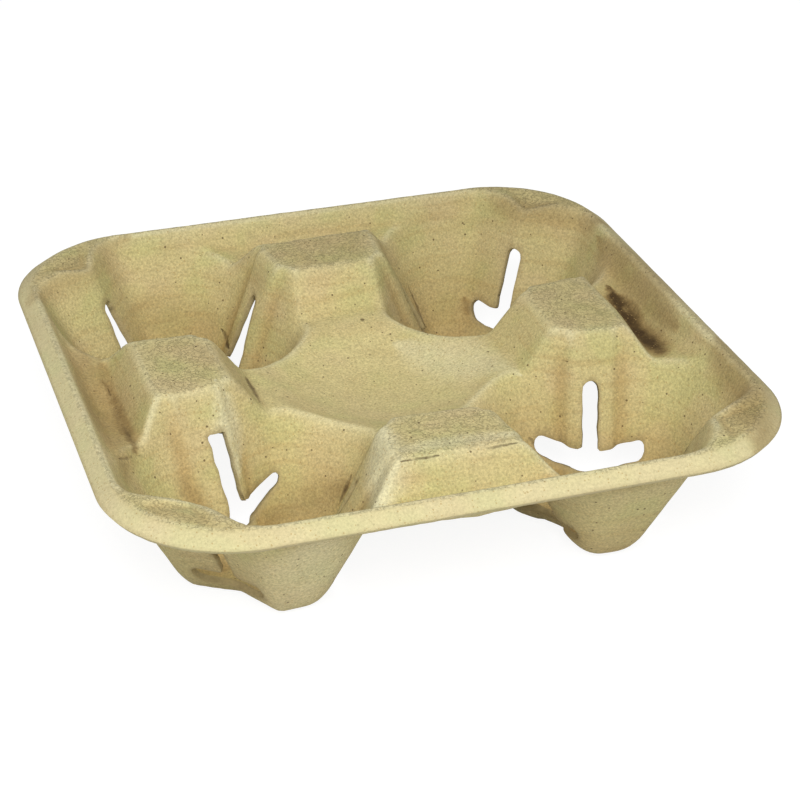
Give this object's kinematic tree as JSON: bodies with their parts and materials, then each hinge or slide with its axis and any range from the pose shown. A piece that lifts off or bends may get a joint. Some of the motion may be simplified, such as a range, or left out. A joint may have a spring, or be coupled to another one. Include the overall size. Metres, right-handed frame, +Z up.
{
  "type": "cup carrier",
  "caption": "Moulded pulp tray with slotted pockets that hold drinks cups upright, raised towers between them and a shallow central dish.",
  "frame": {"origin": "middle of the footprint, on the plane that the four feet stand on", "axes": "+Z up; X and Y run square to the sides of the tray, through the middles of the towers"},
  "size_m": [0.215, 0.215, 0.05],
  "materials": {
    "pulp": "matt, fibrous"
  },
  "bodies": {
    "root": {"carrier_tray": "pulp"}
  },
  "joints": []
}
